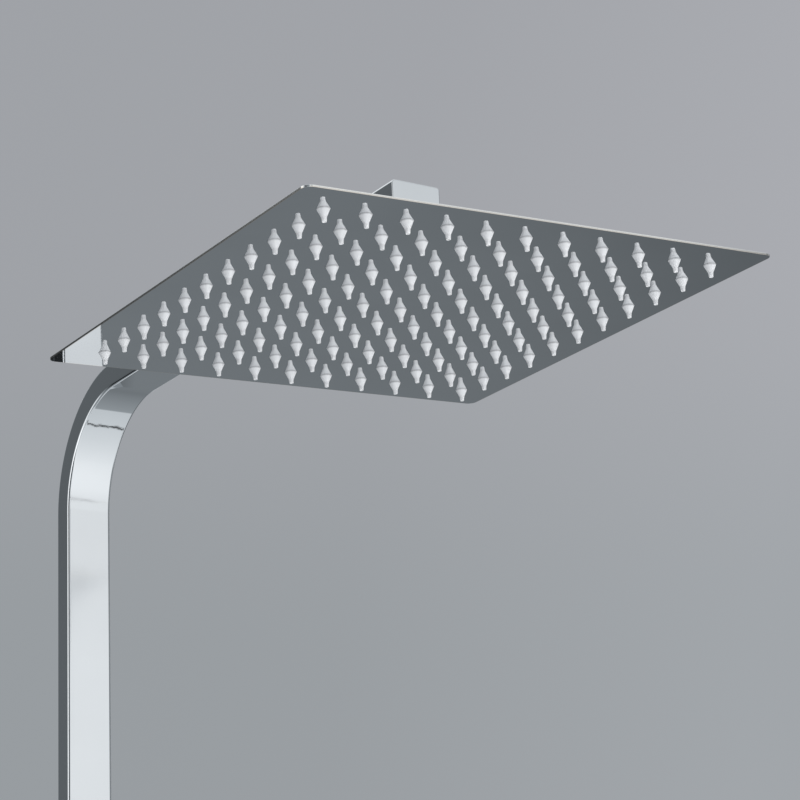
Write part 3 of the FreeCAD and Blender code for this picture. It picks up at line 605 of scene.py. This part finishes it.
LOOKS = {
    "tube_chrome": tube_metal(
        "tube_chrome_look", dark=(0.80, 0.81, 0.82), light=(0.83, 0.84, 0.85), roughness=(0.09, 0.14)),
    "fitting_chrome": polished_metal(
        "fitting_chrome_look", dark=(0.72, 0.73, 0.75), light=(0.79, 0.80, 0.81), roughness=(0.03, 0.09),
        wipe_stretch=(0.2, 0.2, 1)),
    "head_steel": sheet_metal(
        "head_steel_look", dark=(0.70, 0.71, 0.72), light=(0.74, 0.75, 0.76), roughness=(0.012, 0.035)),
    "spring_steel": polished_metal(
        "spring_steel_look", dark=(0.40, 0.42, 0.45), light=(0.52, 0.54, 0.57), roughness=(0.15, 0.32),
        wipe_stretch=(0.3, 1, 1)),
    "seal_rubber": moulded(
        "seal_rubber_look", dark=(0.018, 0.018, 0.019), light=(0.035, 0.035, 0.036), roughness=(0.55, 0.75),
        grain=900.0),
    "acetal": moulded(
        "acetal_look", dark=(0.60, 0.60, 0.57), light=(0.70, 0.70, 0.67), roughness=(0.28, 0.42),
        grain=700.0, softness=0.1),
    "silicone": silicone_rubber("silicone_look"),
}


def dress_nodes():
    """Give every CAD node the look of its own material slot."""
    for node in nodes.values():
        for place in node.material_slots:
            place.material = LOOKS[place.material.name]


def rounded_box(width, depth, corner):
    """Outline of a rectangle with rounded corners; the second number points to the back."""
    across, deep = width / 2, depth / 2
    return soften([(-across, -deep), (across, -deep), (across, deep), (-across, deep)], corner)


def tube_section(inset):
    """Outline of the flat tube, drawn in by inset."""
    corner = max(TUBE_CORNER - inset, TUBE_CORNER / 4)
    return rounded_box(TUBE_WIDTH - 2 * inset, TUBE_DEPTH - 2 * inset, corner)


def tube_path():
    """Places along the riser and arm, each with the direction of the tube's back."""
    places = [(Vector((0, 0, tube_low.z)), Vector((0, 1, 0)))]
    middle = Vector((0, -BEND_RADIUS, BEND_START))
    for step in range(BEND_STEPS + 1):
        turn = math.pi / 2 * step / BEND_STEPS
        back = Vector((0, math.cos(turn), math.sin(turn)))
        places.append((middle + back * BEND_RADIUS, back))
    places.append((Vector((0, tube_low.y, ARM_AXIS)), Vector((0, 0, 1))))
    return places


def make_riser():
    """Flat gooseneck tube, outside and inside."""
    bm = bmesh.new()
    path = tube_path()
    rings = []
    for inset, way in ((0.0, path), (TUBE_WALL, path[::-1])):
        section = tube_section(inset)
        rings += [[place + Vector((p.x, 0, 0)) + back * p.y for p in section] for place, back in way]
    skin(bm, rings, loop=True)
    even_shading(new_piece("riser_tube", bm, "tube_chrome", "riser_pipe"))


def make_arm_cap():
    """Plug at the arm's tip with a rounded front edge."""
    bm = bmesh.new()
    front, back = cap_low.y, tube_low.y
    profile = soften([(0, back), (0, front), (TUBE_DEPTH / 2, front)], CAP_EDGE, closed=False)
    rings = []
    for inset, y in profile[:-1]:
        rings.append([Vector((p.x, y, ARM_AXIS + p.y)) for p in tube_section(inset)])
    skin(bm, rings, caps=(True, True))
    even_shading(new_piece("arm_tip", bm, "tube_chrome", "arm_end_cap"))


def make_foot():
    """Soft-edged flange with a solder fillet round the tube, and the round tail that carries the nut."""
    bm = bmesh.new()
    top = tube_low.z
    corners = [(FLANGE_LAND, FLANGE_BASE), (0, FLANGE_BASE), (0, top), (FLANGE_LAND, top)]
    rings = []
    for inset, z in soften(corners, FLANGE_EDGE, closed=False):
        outline = rounded_box(FLANGE_WIDTH - 2 * inset, FLANGE_DEPTH - 2 * inset, FLANGE_CORNER - inset)
        rings.append([Vector((p.x, p.y, z)) for p in outline])
    skin(bm, rings, caps=(True, True))
    fillet = []
    for step in range(CORNER_STEPS + 1):
        turn = math.pi / 2 * step / CORNER_STEPS
        outward, rise = SOLDER_FILLET * (1 - math.sin(turn)), SOLDER_FILLET * (1 - math.cos(turn))
        fillet.append([Vector((p.x, p.y, top + rise)) for p in tube_section(-outward)])
    skin(bm, fillet)
    tail = [
        (FOOT_BORE, foot_high.z), (FOOT_BORE, foot_low.z), (TAIL_RADIUS, foot_low.z), (TAIL_RADIUS, top),
        (FOOT_BORE + TAIL_EDGE, top), (FOOT_BORE + TAIL_EDGE, foot_high.z),
    ]
    outline = soften(tail, [0, TAIL_EDGE, TAIL_EDGE, 0, 0, 0], EDGE_STEPS)
    spin(bm, even_turns(TAIL_RADIUS), lambda turn, reach: outline)
    even_shading(new_piece("foot_flange", bm, "tube_chrome", "foot_adapter"))


def make_union_nut():
    """Hexagonal nut with rounded corners, turned end chamfers and an inner pipe thread."""
    bm = bmesh.new()
    top = nut_high.z
    across_corners = NUT_FLAT / math.cos(math.pi / 6)
    turns = [math.pi / 6 + side * math.pi / 3 for side in range(6)]
    hexagon = [(across_corners * math.cos(turn), across_corners * math.sin(turn)) for turn in turns]
    plan = turns_of(divide(soften(hexagon, NUT_CORNER, EDGE_STEPS), LONGEST_SIDE))
    steepness = NUT_CHAMFER / (across_corners - NUT_FLAT)
    thread_rows = int(THREAD_END / THREAD_PITCH * THREAD_STEPS)
    heights = [row * THREAD_PITCH / THREAD_STEPS for row in range(1, thread_rows)]

    def section(turn, reach):
        end = NUT_EDGE * 2 + (reach - NUT_FLAT) * steepness
        outer = [
            (NUT_HOLE, top), (NUT_FLAT - NUT_EDGE, top), (reach, top - end), (reach, end),
            (NUT_FLAT - NUT_EDGE, 0), (UNION_BORE + THREAD_DEPTH, 0),
        ]
        outline = soften(outer, [NUT_EDGE, NUT_EDGE, NUT_EDGE, NUT_EDGE, NUT_EDGE, 0], EDGE_STEPS)
        for height in heights:
            phase = height / THREAD_PITCH - turn / (2 * math.pi)
            depth = THREAD_DEPTH * (0.5 + 0.5 * math.cos(2 * math.pi * phase))
            outline.append(Vector((UNION_BORE + depth, height)))
        relief = UNION_BORE + THREAD_RELIEF
        under = top - NUT_SHOULDER
        return outline + [Vector(p) for p in ((relief, THREAD_END), (relief, under), (NUT_HOLE, under))]

    spin(bm, plan, section)
    even_shading(new_piece("hexagon_nut", bm, "fitting_chrome", "union_nut"))


def make_spigot():
    """Soldered shoulder under the arm with the threaded nipple below it."""
    bm = bmesh.new()
    under = ARM_UNDERSIDE - SHOULDER_THICKNESS
    corners = [
        (SPIGOT_BORE, spigot_low.z), (SPIGOT_THREAD, spigot_low.z), (SPIGOT_THREAD, under),
        (SHOULDER_RADIUS, under), (SHOULDER_RADIUS, ARM_UNDERSIDE - SOLDER_FILLET),
        (SHOULDER_RADIUS + SOLDER_FILLET, ARM_UNDERSIDE), (SPIGOT_BORE, ARM_UNDERSIDE),
    ]
    radii = [0, FITTING_EDGE, 0, FITTING_EDGE, FITTING_EDGE, 0, 0]
    outline = soften(corners, radii, EDGE_STEPS)
    spin(bm, even_turns(SHOULDER_RADIUS), lambda turn, reach: outline, OUTLET)
    even_shading(new_piece("spigot_shoulder", bm, "tube_chrome", "outlet_spigot"))


def make_coupling():
    """Turned sleeve with chamfered ends and two spanner flats on its lower part."""
    bm = bmesh.new()
    end, top = coupling_low.z, coupling_high.z
    limit = math.acos(COUPLING_FLAT / COUPLING_RADIUS)
    plan = []
    for middle in (0.0, math.pi):
        for step in range(FLUTE_STEPS + 1):
            turn = limit * (2 * step / FLUTE_STEPS - 1)
            plan.append((middle + turn, COUPLING_FLAT / math.cos(turn)))
        for step in range(1, TURN_STEPS // 2):
            share = step / (TURN_STEPS // 2)
            plan.append((middle + limit + share * (math.pi - 2 * limit), COUPLING_RADIUS))

    def section(turn, reach):
        step_base = end + FLATS_HEIGHT
        rim = COUPLING_RADIUS - COUPLING_CHAMFER
        floor = ARM_UNDERSIDE - COUPLING_FLOOR
        web = ARM_UNDERSIDE - COUPLING_WEB
        corners = [
            (LOWER_SOCKET, end), (rim - FITTING_EDGE, end), (reach, end + FITTING_EDGE + reach - rim),
            (reach, step_base), (COUPLING_RADIUS, step_base + FLATS_STEP),
            (COUPLING_RADIUS, top - COUPLING_CHAMFER), (rim, top), (UPPER_SOCKET, top),
            (UPPER_SOCKET, floor), (COUPLING_THROAT, floor), (COUPLING_THROAT, web), (LOWER_SOCKET, web),
        ]
        edge = FITTING_EDGE / 2
        radii = [edge, edge, edge, 0, 0, FITTING_EDGE, FITTING_EDGE, edge, 0, 0, 0, 0]
        return soften(corners, radii, EDGE_STEPS)

    spin(bm, plan, section, OUTLET)
    even_shading(new_piece("coupling_sleeve", bm, "fitting_chrome", "swivel_coupling"))


def arc(radius, start, end, steps):
    """Points of an arc about the ball's centre, from the direction of start to the direction of end."""
    first, last = math.atan2(start[1], start[0]), math.atan2(end[1], end[0])
    turns = [first + (last - first) * step / steps for step in range(steps + 1)]
    return [Vector((radius * math.cos(turn), radius * math.sin(turn))) for turn in turns]


def side_of(outer, inner):
    """The other side of a right triangle."""
    return math.sqrt(outer ** 2 - inner ** 2)


def make_ball():
    """Hollow ball on its neck and shank."""
    bm = bmesh.new()
    below = (BALL_BORE, -side_of(BALL_RADIUS, BALL_BORE))
    above = (NECK_RADIUS, side_of(BALL_RADIUS, NECK_RADIUS))
    shank = [
        (NECK_RADIUS, SHANK_BASE), (SHANK_RADIUS, SHANK_BASE),
        (SHANK_RADIUS, SHANK_TOP), (BALL_BORE, SHANK_TOP),
    ]
    outline = arc(BALL_RADIUS, below, above, 4 * SEAT_STEPS) + [Vector(point) for point in shank]
    spin(bm, even_turns(BALL_RADIUS), lambda turn, reach: outline, BALL)
    even_shading(new_piece("ball_and_neck", bm, "fitting_chrome", "swivel_ball"))


def make_collar():
    """Collar on the head's back, with a weld bead round its foot and the ball's lower seat inside."""
    bm = bmesh.new()
    base, foot_top = SHELL_TOP, SHELL_TOP + COLLAR_FOOT_HEIGHT
    corners = [
        (COLLAR_THROAT, base), (COLLAR_FOOT + WELD_BEAD, base), (COLLAR_FOOT, base + WELD_BEAD),
        (COLLAR_FOOT, foot_top), (COLLAR_THREAD, foot_top), (COLLAR_THREAD, COLLAR_RIM),
    ]
    seat_top = (side_of(SEAT_RADIUS, COLLAR_RIM), COLLAR_RIM)
    seat_end = (COLLAR_THROAT, -side_of(SEAT_RADIUS, COLLAR_THROAT))
    seat = arc(SEAT_RADIUS, seat_top, seat_end, SEAT_STEPS)
    shape = soften(corners + [seat[0]], [0, 0, FITTING_EDGE, FITTING_EDGE, 0, FITTING_EDGE, 0], EDGE_STEPS)
    outline = shape + seat[1:]
    spin(bm, even_turns(COLLAR_FOOT), lambda turn, reach: outline)
    even_shading(new_piece("collar_foot", bm, "head_steel", "inlet_collar", HEAD))


def fluted_plan():
    """Plan of the ball nut: a circle with softened grip flutes."""
    apart = BALL_NUT_RADIUS + FLUTE_RADIUS - FLUTE_DEPTH
    squares = BALL_NUT_RADIUS ** 2 + apart ** 2 - FLUTE_RADIUS ** 2
    limit = math.acos(squares / (2 * BALL_NUT_RADIUS * apart))
    points, radii = [], []
    for flute in range(FLUTES):
        middle = 2 * math.pi * flute / FLUTES
        for step in range(FLUTE_STEPS + 1):
            turn = limit * (2 * step / FLUTE_STEPS - 1)
            reach = apart * math.cos(turn) - side_of(FLUTE_RADIUS, apart * math.sin(turn))
            points.append(Vector((reach * math.cos(middle + turn), reach * math.sin(middle + turn))))
            radii.append(FLUTE_EDGE if step in (0, FLUTE_STEPS) else 0)
        for step in range(1, FLUTE_STEPS):
            turn = middle + limit + (2 * math.pi / FLUTES - 2 * limit) * step / FLUTE_STEPS
            points.append(Vector((BALL_NUT_RADIUS * math.cos(turn), BALL_NUT_RADIUS * math.sin(turn))))
            radii.append(0)
    return turns_of(soften(points, radii, EDGE_STEPS))


def make_ball_nut():
    """Round nut with grip flutes that run out under its sloped crown, and the ball's upper seat inside."""
    bm = bmesh.new()
    crown_top = side_of(SEAT_RADIUS, BALL_NUT_MOUTH)
    side_top = BALL_NUT_BASE + BALL_NUT_SIDE
    seat = arc(SEAT_RADIUS, (BALL_NUT_MOUTH, crown_top), (SEAT_RADIUS, 0), SEAT_STEPS)

    def section(turn, reach):
        corners = [
            (BALL_NUT_THREAD, BALL_NUT_BASE), (reach, BALL_NUT_BASE),
            (reach, side_top - BALL_NUT_EDGE - (BALL_NUT_RADIUS - reach)), (BALL_NUT_RADIUS, side_top),
            (BALL_NUT_CROWN, crown_top), seat[0],
        ]
        edge = BALL_NUT_EDGE
        outline = soften(corners, [0, edge, 0, edge, edge, 0], EDGE_STEPS)
        inside = [(SEAT_RADIUS, BALL_NUT_SEAT), (BALL_NUT_THREAD, BALL_NUT_SEAT)]
        return outline + seat[1:] + [Vector(point) for point in inside]

    spin(bm, fluted_plan(), section)
    even_shading(new_piece("fluted_nut", bm, "fitting_chrome", "ball_nut", HEAD))


def square_ring(inset, corner, height):
    """Rounded square drawn in by inset from the head's edge."""
    side = HEAD_SIDE - 2 * inset
    return [Vector((p.x, p.y, height)) for p in rounded_box(side, side, corner)]


def shell_corner(inset):
    """Corner radius of the top shell's outline at a distance from the head's edge."""
    return HEAD_CORNER + min(inset, RIM_FLAT) - max(inset - RIM_FLAT, 0)


def make_top_shell():
    """Pressed upper sheet with its rounded rim, flat border, soft step and flat field."""
    bm = bmesh.new()
    low = FACE + SHEET
    field = RIM_FLAT + RIM_SLOPE
    inner = field + 2 * PRESS_RADIUS
    corners = [
        (inner, SHELL_TOP - SHEET), (field + SHEET, SHELL_TOP - SHEET), (RIM_FLAT + SHEET, low), (0, low),
        (0, low + SHEET), (RIM_FLAT, low + SHEET), (field, SHELL_TOP), (inner, SHELL_TOP),
    ]
    radii = [0, PRESS_RADIUS / 2, PRESS_RADIUS / 2, RIM_EDGE / 4, RIM_EDGE, PRESS_RADIUS, PRESS_RADIUS, 0]
    profile = soften(corners, radii, closed=False)
    rings = [square_ring(inset, shell_corner(inset), height) for inset, height in profile]
    skin(bm, rings, caps=(True, True))
    even_shading(new_piece("head_shell", bm, "head_steel", "top_shell", HEAD))


def nozzle_places():
    """Centres of the nozzles in the face plate."""
    half = (NOZZLE_COUNT - 1) / 2
    steps = [(index - half) * NOZZLE_PITCH for index in range(NOZZLE_COUNT)]
    return [Vector((x, y, 0)) for x in steps for y in steps]


def add_border(bm):
    """Flat strips and corners from the nozzle field's outline to the sheet's edge."""
    field, edge = NOZZLE_COUNT * NOZZLE_PITCH / 2, HEAD_SIDE / 2
    near = HOLE_GAP
    inner = list(bm.verts)
    for axis in (0, 1):
        for sign in (-1, 1):
            side = [vert for vert in inner if abs(vert.co[axis] - sign * field) < near]
            side.sort(key=lambda vert: vert.co[1 - axis])
            outer = []
            for vert in side:
                place = vert.co.copy()
                place[axis] = sign * edge
                outer.append(bm.verts.new(place))
            for index in range(len(side) - 1):
                bm.faces.new((side[index], side[index + 1], outer[index + 1], outer[index]))
    for corner in ((-1, -1), (1, -1), (1, 1), (-1, 1)):
        x, y = corner
        inner_x, outer_x, inner_y, outer_y = x * field, x * edge, y * field, y * edge
        points = [(inner_x, inner_y), (outer_x, inner_y), (outer_x, outer_y), (inner_x, outer_y)]
        outline = soften(points, [0, 0, HEAD_CORNER, 0])
        bm.faces.new([bm.verts.new((p.x, p.y, FACE)) for p in outline])
    bmesh.ops.remove_doubles(bm, verts=bm.verts, dist=near / 10)


def make_face_plate():
    """Mirror sheet with one softened hole for each nozzle."""
    bm = bmesh.new()
    hole = NOZZLE_BASE + HOLE_GAP
    for centre in nozzle_places():
        rings = [[], []]
        for step in range(HOLE_STEPS):
            turn = 2 * math.pi * step / HOLE_STEPS
            aim = Vector((math.cos(turn), math.sin(turn), 0))
            edge = NOZZLE_PITCH / 2 / max(abs(aim.x), abs(aim.y))
            rings[0].append(centre + aim * hole + Vector((0, 0, FACE)))
            rings[1].append(centre + aim * edge + Vector((0, 0, FACE)))
        skin(bm, rings)
    bmesh.ops.remove_doubles(bm, verts=bm.verts, dist=HOLE_GAP / 10)
    add_border(bm)
    piece = new_piece("face_sheet", bm, "head_steel", "face_plate", HEAD)
    if piece.data.polygons[0].normal.z > 0:
        piece.data.flip_normals()
    thick = piece.modifiers.new("sheet", "SOLIDIFY")
    thick.thickness = SHEET
    thick.offset = -1.0
    edge = piece.modifiers.new("edges", "BEVEL")
    edge.width = HOLE_EDGE
    edge.segments = BEVEL_STEPS
    edge.limit_method = "ANGLE"
    edge.angle_limit = BEVEL_ANGLE
    even_shading(piece)


def make_nozzles():
    """Silicone nozzles: a straight taper, a short spout with a soft end and a tapered waterway."""
    bm = bmesh.new()
    tip, back = FACE - NOZZLE_LENGTH, FACE + SHEET
    top = back + NOZZLE_FLANGE_THICKNESS
    corners = [
        (NOZZLE_JET, tip), (NOZZLE_TIP, tip), (NOZZLE_SHOULDER, FACE - NOZZLE_CONE), (NOZZLE_BASE, FACE),
        (NOZZLE_BASE, back), (NOZZLE_FLANGE, back), (NOZZLE_FLANGE, top), (NOZZLE_MOUTH, top),
    ]
    edge = NOZZLE_EDGE
    outline = soften(corners, [edge, edge, 2 * edge, edge, 0, edge, edge, 0], EDGE_STEPS)
    for centre in nozzle_places():
        spin(bm, even_turns(NOZZLE_BASE, NOZZLE_STEPS), lambda turn, reach: outline, centre)
    new_piece("nozzle_field", bm, "silicone", "nozzles", HEAD)


def add_camera():
    """Camera at the photograph's place and angle."""
    data = bpy.data.cameras.new("camera")
    data.lens = CAMERA_LENS
    data.sensor_width = CAMERA_SENSOR
    camera = bpy.data.objects.new("camera", data)
    bpy.context.scene.collection.objects.link(camera)
    heading = Matrix.Rotation(math.radians(CAMERA_HEADING), 4, "Z")
    pitch = Matrix.Rotation(math.radians(90 + CAMERA_PITCH), 4, "X")
    roll = Matrix.Rotation(math.radians(CAMERA_ROLL), 4, "Z")
    camera.matrix_world = Matrix.Translation(CAMERA_PLACE) @ heading @ pitch @ roll
    bpy.context.scene.camera = camera


def add_floor():
    """Plain pale floor, as far below the head as a shower's floor is."""
    bm = bmesh.new()
    half = FLOOR_HALF
    corners = [(-half, -half), (half, -half), (half, half), (-half, half)]
    bm.faces.new([bm.verts.new((x, y, FLOOR_HEIGHT)) for x, y in corners])
    mesh = bpy.data.meshes.new("floor")
    bm.to_mesh(mesh)
    bm.free()
    material, tree, shader = new_material("floor_look")
    tone = tree.ramp(tree.noise(FLOOR_SCALE, FLOOR_DETAIL), FLOOR_TONES)
    tree.link(tone, shader.inputs["Base Color"])
    shader.inputs["Roughness"].default_value = FLOOR_ROUGHNESS
    mesh.materials.append(material)
    floor = bpy.data.objects.new("floor", mesh)
    bpy.context.scene.collection.objects.link(floor)
    floor.visible_glossy = False


def add_lamp(name, place, aim, size, power, mirrored=False):
    """Softbox that the camera doesn't see, and the mirrors only where mirrored is true."""
    data = bpy.data.lights.new(name, "AREA")
    data.shape = "RECTANGLE"
    data.size, data.size_y = size
    data.energy = power
    lamp = bpy.data.objects.new(name, data)
    bpy.context.scene.collection.objects.link(lamp)
    lamp.location = place
    lamp.rotation_mode = "QUATERNION"
    lamp.rotation_quaternion = (Vector(aim) - Vector(place)).to_track_quat("-Z", "Y")
    lamp.visible_camera = False
    lamp.visible_glossy = mirrored


def cool(level):
    """Grey with the room's slightly blue cast, which is stronger in the dark tones."""
    red = level * (COOL_RED + COOL_RED_GAIN * level)
    blue = level * (COOL_BLUE - COOL_BLUE_LOSS * level)
    return (red, level, blue)


def cool_stops(stops):
    """Stops of a ramp in the room's greys, from pairs of place and brightness."""
    return [(place, cool(level)) for place, level in stops]


def backdrop(tree, across, up):
    """Grey that the camera sees behind the object: lighter to the right and darker low down."""
    tone = tree.ramp(tree.spread(across, *BACKDROP_ACROSS, smooth=False), BACKDROP_TONES)
    fall = tree.ramp(tree.spread(up, *BACKDROP_UP), BACKDROP_FALL)
    return tree.mix(1.0, tone, fall, "MULTIPLY")


def room_walls(tree, turn, up):
    """Walls of the mirrored room, by compass direction and height."""
    height = tree.ramp(tree.spread(up, *WALL_UP, smooth=False), WALL_HEIGHTS)
    walls = tree.mix(1.0, tree.ramp(turn, cool_stops(WALLS)), height, "MULTIPLY")
    for stops, heights, level in WALL_PARTS:
        share = tree.math("MULTIPLY", tree.ramp(turn, stops), tree.spread(up, *heights))
        walls = tree.mix(share, walls, (*cool(level), 1.0))
    return walls


def room_ground(tree, across, deep):
    """Floor of the mirrored room, with a ragged dark row that the riser's bend shows as a streak."""
    ground = tree.ramp(tree.spread(deep, -1.0, 1.0, smooth=False), cool_stops(GROUND))
    rows = []
    for scale, shift in STREAK_NOISES:
        ragged = tree.add("ShaderNodeTexNoise", noise_dimensions="1D")
        ragged.inputs["Scale"].default_value = scale
        ragged.inputs["Detail"].default_value = STREAK_DETAIL
        tree.link(tree.math("ADD", across, shift), ragged.inputs["W"])
        rows.append(ragged.outputs["Fac"])
    sway = tree.spread(rows[0], *SWAY_NOISE, -STREAK_SWAY, STREAK_SWAY, smooth=False)
    thickness = tree.spread(rows[1], *THICKNESS_NOISE, *STREAK_THICKNESS, smooth=False)
    away = tree.math("ABSOLUTE", tree.math("ADD", tree.math("ADD", deep, sway), STREAK_PLACE))
    streak = tree.spread(away, STREAK_CORE, thickness, STREAK_SHARE, 0.0)
    return tree.mix(streak, ground, (*cool(STREAK_LEVEL), 1.0))


def room_ceiling(tree, deep, up):
    """Ceiling of the mirrored room: lighter to the back, and dim where it meets the walls."""
    ceiling = tree.ramp(tree.spread(deep, *CEILING_DEEP), cool_stops(CEILING))
    return tree.mix(tree.spread(up, *CEILING_UP), (*cool(CEILING_EDGE), 1.0), ceiling)


def add_world():
    """Backdrop for the camera, the room for the mirrors and an even light for the rest."""
    world = bpy.data.worlds.new("studio")
    bpy.context.scene.world = world
    world.use_nodes = True
    tree = Nodes(world.node_tree)
    across, deep, up = tree.axes(tree.add("ShaderNodeTexCoord").outputs["Generated"])
    turn = tree.spread(tree.math("ARCTAN2", across, deep), -math.pi, math.pi, smooth=False)
    walls = room_walls(tree, turn, up)
    room = tree.mix(tree.spread(up, *GROUND_BLEND), walls, room_ground(tree, across, deep))
    room = tree.mix(tree.spread(up, *CEILING_BLEND), room, room_ceiling(tree, deep, up))
    path = tree.add("ShaderNodeLightPath")
    mirrored = tree.math("MAXIMUM", path.outputs["Is Glossy Ray"], path.outputs["Is Transmission Ray"])
    seen = tree.mix(mirrored, EVEN_LIGHT, room)
    background = world.node_tree.nodes["Background"]
    colour = tree.mix(path.outputs["Is Camera Ray"], seen, backdrop(tree, across, up))
    tree.link(colour, background.inputs["Color"])
    background.inputs["Strength"].default_value = 1.0


dress_nodes()
make_riser()
make_arm_cap()
make_foot()
make_union_nut()
make_spigot()
make_coupling()
make_ball()
make_collar()
make_ball_nut()
make_top_shell()
make_face_plate()
make_nozzles()
add_floor()
add_world()
for lamp in LAMPS:
    add_lamp(**lamp)
add_camera()

bpy.context.scene.view_settings.view_transform = "Standard"
